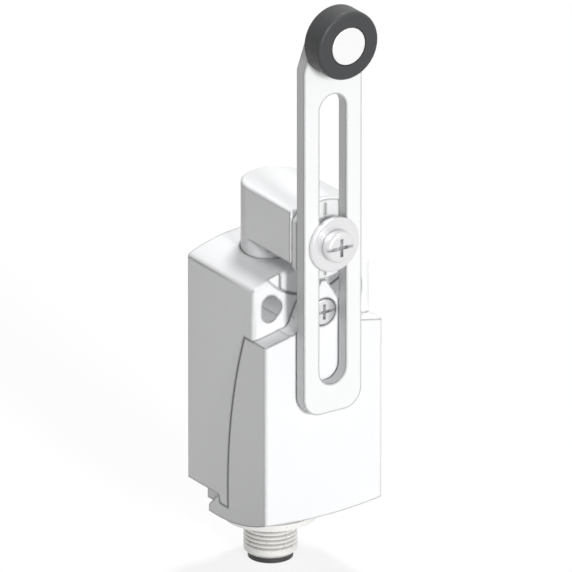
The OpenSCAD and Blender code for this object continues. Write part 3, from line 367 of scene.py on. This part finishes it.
def make_materials():
    """One material for each slot of the record."""
    clamp_axis = middle("clamp_washer")
    roller_axis = middle("roller_tyre")
    return {
        "housing_paint": powder_coat("housing_paint", (0.865, 0.870, 0.878)),
        "seal_rubber": soft_rubber("seal_rubber", (0.045, 0.045, 0.048)),
        "screw_steel": turned_steel("screw_steel", (0.80, 0.80, 0.81), clamp_axis),
        "spring_steel": satin_steel("spring_steel", (0.55, 0.56, 0.58), (1, 1, 1), 0.3, 1.0),
        "bearing_brass": satin_steel("bearing_brass", (0.62, 0.46, 0.24), (1, 1, 1), 0.42, 1.0),
        "contact_brass": satin_steel("contact_brass", (0.80, 0.62, 0.30), (1, 1, 1), 0.25, 1.0),
        "cast_zinc": powder_coat("cast_zinc", (0.83, 0.835, 0.84)),
        # The lever: painted shade on its side faces and broad painted dark lines along its edges.
        "lever_steel": satin_steel("lever_steel", (0.86, 0.865, 0.87), metallic=0.2, roughness=0.42,
                                   rim=0.7 * MM, side_shade=0.6),
        "pin_steel": turned_steel("pin_steel", (0.90, 0.90, 0.90), roller_axis, 0.34, 0.6),
        "roller_plastic": moulded("roller_plastic", (0.046, 0.047, 0.049), 0.48, sheen=0.35),
        "white_plastic": moulded("white_plastic", (0.82, 0.80, 0.72), 0.42),
        "insert_plastic": moulded("insert_plastic", (0.035, 0.035, 0.037), 0.48),
        "lid_plastic": moulded("lid_plastic", (0.45, 0.47, 0.45), 0.4),
        "plug_nickel": plated("plug_nickel", (0.88, 0.87, 0.85)),
        "lead_insulation": moulded("lead_insulation", (0.10, 0.17, 0.40), 0.34),
    }


def dress(piece, material):
    """Gives every face of a piece one material."""
    slots = piece.data.materials
    for i in range(len(slots)):
        slots[i] = material
    if not slots:
        slots.append(material)


# ---------- Pieces with finished edges ----------

def soften(node, width):
    """A copy of a CAD solid with its sharp edges rounded, which stands for that solid."""
    crease = math.radians(CREASE_ANGLE)
    source = NODES[node]
    mesh = source.data.copy()
    mesh.name = node + "_finished"
    body = bmesh.new()
    body.from_mesh(mesh)
    bmesh.ops.remove_doubles(body, verts=body.verts, dist=WELD)
    flat = math.radians(FLAT_ANGLE)
    bmesh.ops.dissolve_limit(body, angle_limit=flat, verts=body.verts, edges=body.edges)
    body.to_mesh(mesh)
    body.free()
    piece = bpy.data.objects.new(node + "_finished", mesh)
    bpy.context.scene.collection.objects.link(piece)
    mesh.shade_smooth()
    mesh.set_sharp_from_angle(angle=crease)
    bevel = piece.modifiers.new("edge", "BEVEL")
    bevel.width = width
    bevel.segments = EDGE_SEGMENTS
    bevel.limit_method = "ANGLE"
    bevel.angle_limit = crease
    bevel.use_clamp_overlap = True
    bevel.harden_normals = True
    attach(piece, source["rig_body"])
    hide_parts(node)
    return piece


# ---------- Studio ----------

def make_floor(z):
    """Pale floor that looks white to the camera and keeps the object's soft shadow."""
    corners = [(x * FLOOR_REACH, y * FLOOR_REACH, z) for x, y in ((-1, -1), (1, -1), (1, 1), (-1, 1))]
    mesh = bpy.data.meshes.new("floor")
    mesh.from_pydata(corners, [], [(0, 1, 2, 3)])
    floor = bpy.data.objects.new("floor", mesh)
    bpy.context.scene.collection.objects.link(floor)
    material = bpy.data.materials.new("floor")
    material.use_nodes = True
    nodes, links = material.node_tree.nodes, material.node_tree.links
    paper = nodes["Principled BSDF"]
    seen = seen_ray(nodes, links)
    tone = nodes.new("ShaderNodeMix")
    tone.data_type = "RGBA"
    tone.inputs["A"].default_value = (FLOOR_BOUNCE, FLOOR_BOUNCE, FLOOR_BOUNCE, 1)
    tone.inputs["B"].default_value = (FLOOR_COLOR, FLOOR_COLOR, FLOOR_COLOR, 1)
    links.new(seen, tone.inputs["Factor"])
    links.new(tone.outputs["Result"], paper.inputs["Base Color"])
    paper.inputs["Roughness"].default_value = 0.9
    paper.inputs["Specular IOR Level"].default_value = 0.0
    glow = nodes.new("ShaderNodeEmission")
    glow.inputs["Color"].default_value = (1, 1, 1, 1)
    glow.inputs["Strength"].default_value = BACKGROUND
    share = nodes.new("ShaderNodeMath")
    share.operation = "MULTIPLY"
    share.inputs[1].default_value = FLOOR_GLOW
    links.new(seen, share.inputs[0])
    mix = nodes.new("ShaderNodeMixShader")
    links.new(share.outputs["Value"], mix.inputs["Fac"])
    links.new(paper.outputs["BSDF"], mix.inputs[1])
    links.new(glow.outputs["Emission"], mix.inputs[2])
    links.new(mix.outputs["Shader"], nodes["Material Output"].inputs["Surface"])
    mesh.materials.append(material)


def seen_ray(nodes, links):
    """1 for camera, glossy and transmission rays, which show the white background."""
    path = nodes.new("ShaderNodeLightPath")
    value = path.outputs["Is Camera Ray"]
    for name in ("Is Glossy Ray", "Is Transmission Ray"):
        node = nodes.new("ShaderNodeMath")
        node.operation = "MAXIMUM"
        links.new(value, node.inputs[0])
        links.new(path.outputs[name], node.inputs[1])
        value = node.outputs["Value"]
    return value


def make_world():
    """Even studio light, with a white background behind the object and in its reflections."""
    world = bpy.data.worlds.new("studio")
    bpy.context.scene.world = world
    world.use_nodes = True
    nodes, links = world.node_tree.nodes, world.node_tree.links
    level = nodes.new("ShaderNodeMapRange")
    level.inputs["To Min"].default_value = AMBIENT
    level.inputs["To Max"].default_value = BACKGROUND
    links.new(seen_ray(nodes, links), level.inputs["Value"])
    background = nodes["Background"]
    background.inputs["Color"].default_value = (1, 1, 1, 1)
    links.new(level.outputs["Result"], background.inputs["Strength"])


def make_key(name, level, direction):
    """A broad, soft lamp that shows a white surface square to it at this level."""
    light = bpy.data.lights.new(name, "SUN")
    light.energy = level * math.pi
    light.angle = math.radians(KEY_SOFTNESS)
    lamp = bpy.data.objects.new(name, light)
    lamp.rotation_euler = direction.to_track_quat("Z", "Y").to_euler()
    bpy.context.scene.collection.objects.link(lamp)


def make_camera():
    """The photograph's camera: almost parallel, so a very long lens from far away."""
    azimuth = math.radians(VIEW_AZIMUTH)
    elevation = math.radians(VIEW_ELEVATION)
    back = Vector((math.sin(azimuth) * math.cos(elevation), -math.cos(azimuth) * math.cos(elevation),
                   math.sin(elevation)))
    data = bpy.data.cameras.new("camera")
    data.lens = LENS
    data.sensor_width = SENSOR
    distance = VIEW_WIDTH * LENS / SENSOR
    data.clip_start = VIEW_NEAR
    data.clip_end = distance + VIEW_PAST_TARGET
    camera = bpy.data.objects.new("camera", data)
    camera.location = VIEW_TARGET + back * distance
    camera.rotation_euler = back.to_track_quat("Z", "Y").to_euler()
    bpy.context.scene.collection.objects.link(camera)
    bpy.context.scene.camera = camera


# ---------- The scene ----------

bpy.context.scene.view_settings.view_transform = "Standard"
materials = make_materials()
slot_of = {part["node"]: part["material_slot"] for part in frame["record"]["subparts"]}

SOFTENED = {
    "body_shell": CAST_EDGE, "front_cover": CAST_EDGE, "head_housing": CAST_EDGE,
    "lever_hub": FINE_EDGE, "lever_plate": STAMPED_EDGE,
}

for name, node in NODES.items():
    if name in SOFTENED:
        finished = soften(name, SOFTENED[name])
        dress(finished, materials[slot_of[name]])
    else:
        dress(node, materials[slot_of[name]])

make_camera()
make_world()
make_key("front_key", FRONT_KEY, FRONT_KEY_FROM)
make_key("top_key", TOP_KEY, TOP_KEY_FROM)
make_floor(cad_box[0][2] - FLOOR_GAP)
